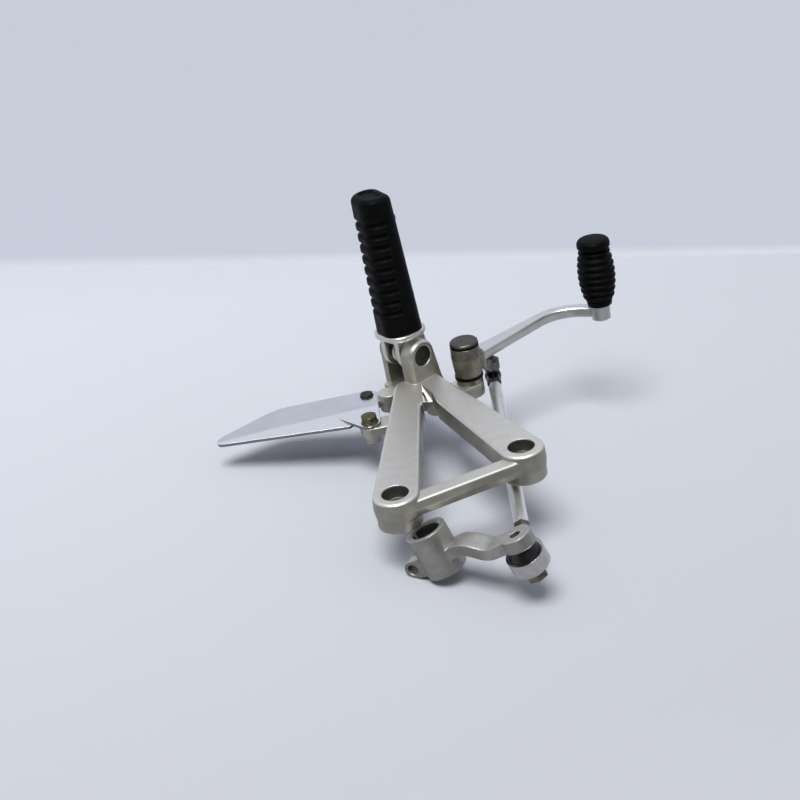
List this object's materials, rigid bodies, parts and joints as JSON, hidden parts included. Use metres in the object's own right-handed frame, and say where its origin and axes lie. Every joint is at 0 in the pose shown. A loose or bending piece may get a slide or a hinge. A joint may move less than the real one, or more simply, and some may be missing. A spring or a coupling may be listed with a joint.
{
  "type": "motorcycle footrest bracket",
  "caption": "Cast alloy footrest bracket in a V with a folding rubber footpeg, sheet heel guard, gear lever with toe rubber, link rod and clamp-on shift arm.",
  "frame": {"origin": "midway between the two frame bolt holes, on the face that sits on the frame", "axes": "+X along the line of the two bolts, +Z away from the machine along the bolts, +Y towards the footpeg"},
  "size_m": [0.2648, 0.2166, 0.1673],
  "materials": {
    "cast_alloy": "bead-blasted satin casting",
    "sheet_alloy": "bright anodised sheet",
    "black_rubber": "moulded black rubber",
    "zinc_steel": "yellow zinc plated steel",
    "dark_steel": "blackened steel",
    "spring_steel": "bright drawn wire",
    "lever_alloy": "satin forged alloy",
    "sintered_bush": "sintered bronze"
  },
  "bodies": {
    "bracket": {"footrest_bracket": "cast_alloy", "heel_guard": "sheet_alloy", "heel_guard_front_bolt": "zinc_steel", "heel_guard_back_bolt": "dark_steel", "footpeg_pin": "dark_steel", "pin_washer": "zinc_steel", "pin_clip": "dark_steel", "footpeg_spring": "spring_steel", "lever_pivot_bolt": "dark_steel", "pivot_collar": "zinc_steel"},
    "footpeg": {"footpeg_bar": "cast_alloy", "footpeg_rubber": "black_rubber", "footpeg_screw_1": "dark_steel", "footpeg_screw_2": "dark_steel"},
    "gear_lever": {"gear_lever": "lever_alloy", "pivot_bush": "sintered_bush", "lower_dust_seal": "black_rubber", "upper_dust_seal": "black_rubber", "toe_rubber": "black_rubber", "lever_ball_stud": "spring_steel"},
    "link_rod": {"link_rod": "lever_alloy", "near_lock_nut": "zinc_steel", "far_lock_nut": "zinc_steel", "lever_rod_end": "dark_steel", "lever_boot": "black_rubber", "shifter_rod_end": "spring_steel", "shifter_boot": "black_rubber"},
    "shift_arm": {"shift_arm": "cast_alloy", "shifter_ball": "spring_steel", "shifter_bolt": "zinc_steel", "shifter_washer": "zinc_steel"}
  },
  "joints": [
    {"name": "footpeg_fold", "type": "hinge", "parent": "bracket", "child": "footpeg", "pos_m": [0.0251, 0.124, 0.0335], "axis": [0.342, -0.9397, 0], "range_deg": [0, 80], "stiffness_Nm_per_rad": 1.2, "springref_deg": -22.92},
    {"name": "gear_lever_pivot", "type": "hinge", "parent": "bracket", "child": "gear_lever", "pos_m": [0.0555, 0.106, 0.009], "axis": [0, 0, 1], "range_deg": [-8, 8]},
    {"name": "rod_at_lever", "type": "hinge", "parent": "gear_lever", "child": "link_rod", "pos_m": [0.07353, 0.112, 0.0039], "axis": [0, 0, 1], "range_deg": [-7.2, 7.2]},
    {"name": "arm_at_rod", "type": "hinge", "parent": "link_rod", "child": "shift_arm", "pos_m": [0.009, -0.0539, -0.013], "axis": [-0.2393, 0.2667, 0.9336], "range_deg": [-1.9, 1.9]}
  ],
  "couplings": [
    {"joint": "rod_at_lever", "follows": "gear_lever_pivot", "ratio": -0.8906},
    {"joint": "arm_at_rod", "follows": "gear_lever_pivot", "ratio": 0.23}
  ]
}
